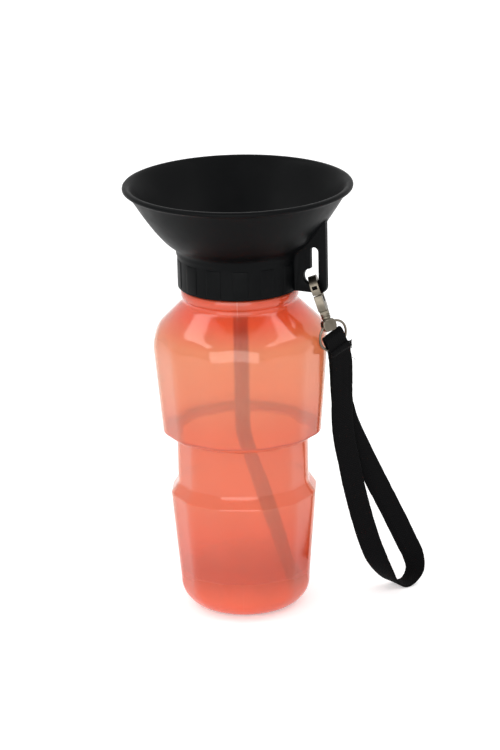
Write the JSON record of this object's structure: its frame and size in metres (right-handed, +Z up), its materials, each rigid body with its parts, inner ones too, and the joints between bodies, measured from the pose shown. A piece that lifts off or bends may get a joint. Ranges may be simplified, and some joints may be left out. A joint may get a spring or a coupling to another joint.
{
  "type": "travel water bottle for dogs",
  "caption": "Squeeze bottle for walking a dog: translucent coral bottle, black screw-on drinking bowl, dip tube, and a webbing wrist strap on a snap hook.",
  "frame": {"origin": "centre of the bottle's base, on the table", "axes": "+Z up the bottle's axis, +X through the bowl's tab that the hook hangs in"},
  "size_m": [0.1421, 0.122, 0.2352],
  "materials": {
    "bottle_coral": "translucent frosted",
    "bowl_black": "semi-gloss",
    "gasket_white": "matte",
    "tube_clear": "translucent",
    "hook_nickel": "nickel plated die casting",
    "spring_steel": "bright",
    "strap_black": "woven webbing"
  },
  "bodies": {
    "bottle": {"squeeze_bottle": "bottle_coral"},
    "seal": {"mouth_gasket": "gasket_white"},
    "bowl": {"drinking_bowl": "bowl_black", "dip_tube": "tube_clear"},
    "hook": {"hook_body": "hook_nickel", "gate_pin": "spring_steel"},
    "gate": {"hook_gate": "hook_nickel", "gate_spring": "spring_steel"},
    "eye": {"swivel_eye": "hook_nickel"},
    "ring": {"strap_ring": "hook_nickel"},
    "strap": {"wrist_strap": "strap_black", "strap_stitching": "strap_black"}
  },
  "joints": [
    {"name": "bowl_lift", "type": "slide", "parent": "bottle", "child": "seal", "axis": [0, 0, 1], "range_m": [0, 0.0101]},
    {"name": "bowl_turn", "type": "hinge", "parent": "seal", "child": "bowl", "pos_m": [0, 0, 0.19], "axis": [0, 0, 1], "range_deg": [0, 600]},
    {"name": "hook_swing", "type": "hinge", "parent": "bowl", "child": "hook", "pos_m": [0.0423, 0, 0.18743], "axis": [0, -1, 0], "range_deg": [0, 75]},
    {"name": "gate_open", "type": "hinge", "parent": "hook", "child": "gate", "pos_m": [0.04886, -0.00364, 0.1731], "axis": [-0.88, -0.3584, -0.3116], "range_deg": [0, 32], "stiffness_Nm_per_rad": 0.004},
    {"name": "eye_swivel", "type": "hinge", "parent": "hook", "child": "eye", "pos_m": [0.05081, 0, 0.1634], "axis": [0.3338, 0, -0.9426], "range_deg": [-3, 3]},
    {"name": "ring_tilt", "type": "hinge", "parent": "eye", "child": "ring", "pos_m": [0.05081, 0, 0.1634], "axis": [-0.4999, -0.7489, -0.435], "range_deg": [0, 90]},
    {"name": "strap_sway", "type": "hinge", "parent": "ring", "child": "strap", "pos_m": [0.0519, 0.00365, 0.15586], "axis": [0.8563, -0.5027, -0.1187], "range_deg": [0, 28]}
  ],
  "couplings": [
    {"joint": "bowl_lift", "follows": "bowl_turn", "m_per_rad": 0.00095493}
  ]
}
